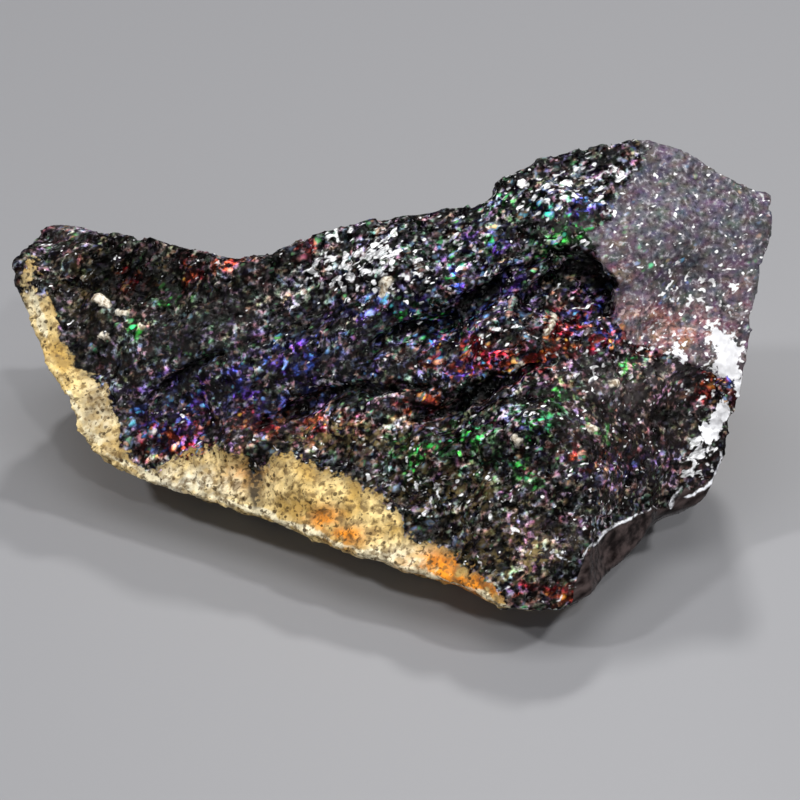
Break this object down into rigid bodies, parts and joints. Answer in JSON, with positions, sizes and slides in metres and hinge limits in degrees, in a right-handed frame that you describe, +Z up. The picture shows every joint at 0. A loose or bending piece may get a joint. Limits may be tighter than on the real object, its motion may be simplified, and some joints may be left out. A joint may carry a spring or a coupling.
{
  "type": "rough opal specimen",
  "caption": "Rough lump of black matrix opal with a clear opal corner, a tan crust of host rock and a flat resting face.",
  "frame": {"origin": "middle of the outline box, on the plane that the stone rests on", "axes": "+X along the lump from the low end to the high end, +Y from the black opal face to the back, +Z up from the resting face to the ridge"},
  "size_m": [0.046, 0.031, 0.0228],
  "materials": {
    "matrix_opal": "wet-looking black matrix with fine coloured opal flecks, a mauve clear opal corner and a tan and rust crust of host rock"
  },
  "bodies": {
    "root": {"opal_rough": "matrix_opal"}
  },
  "joints": []
}
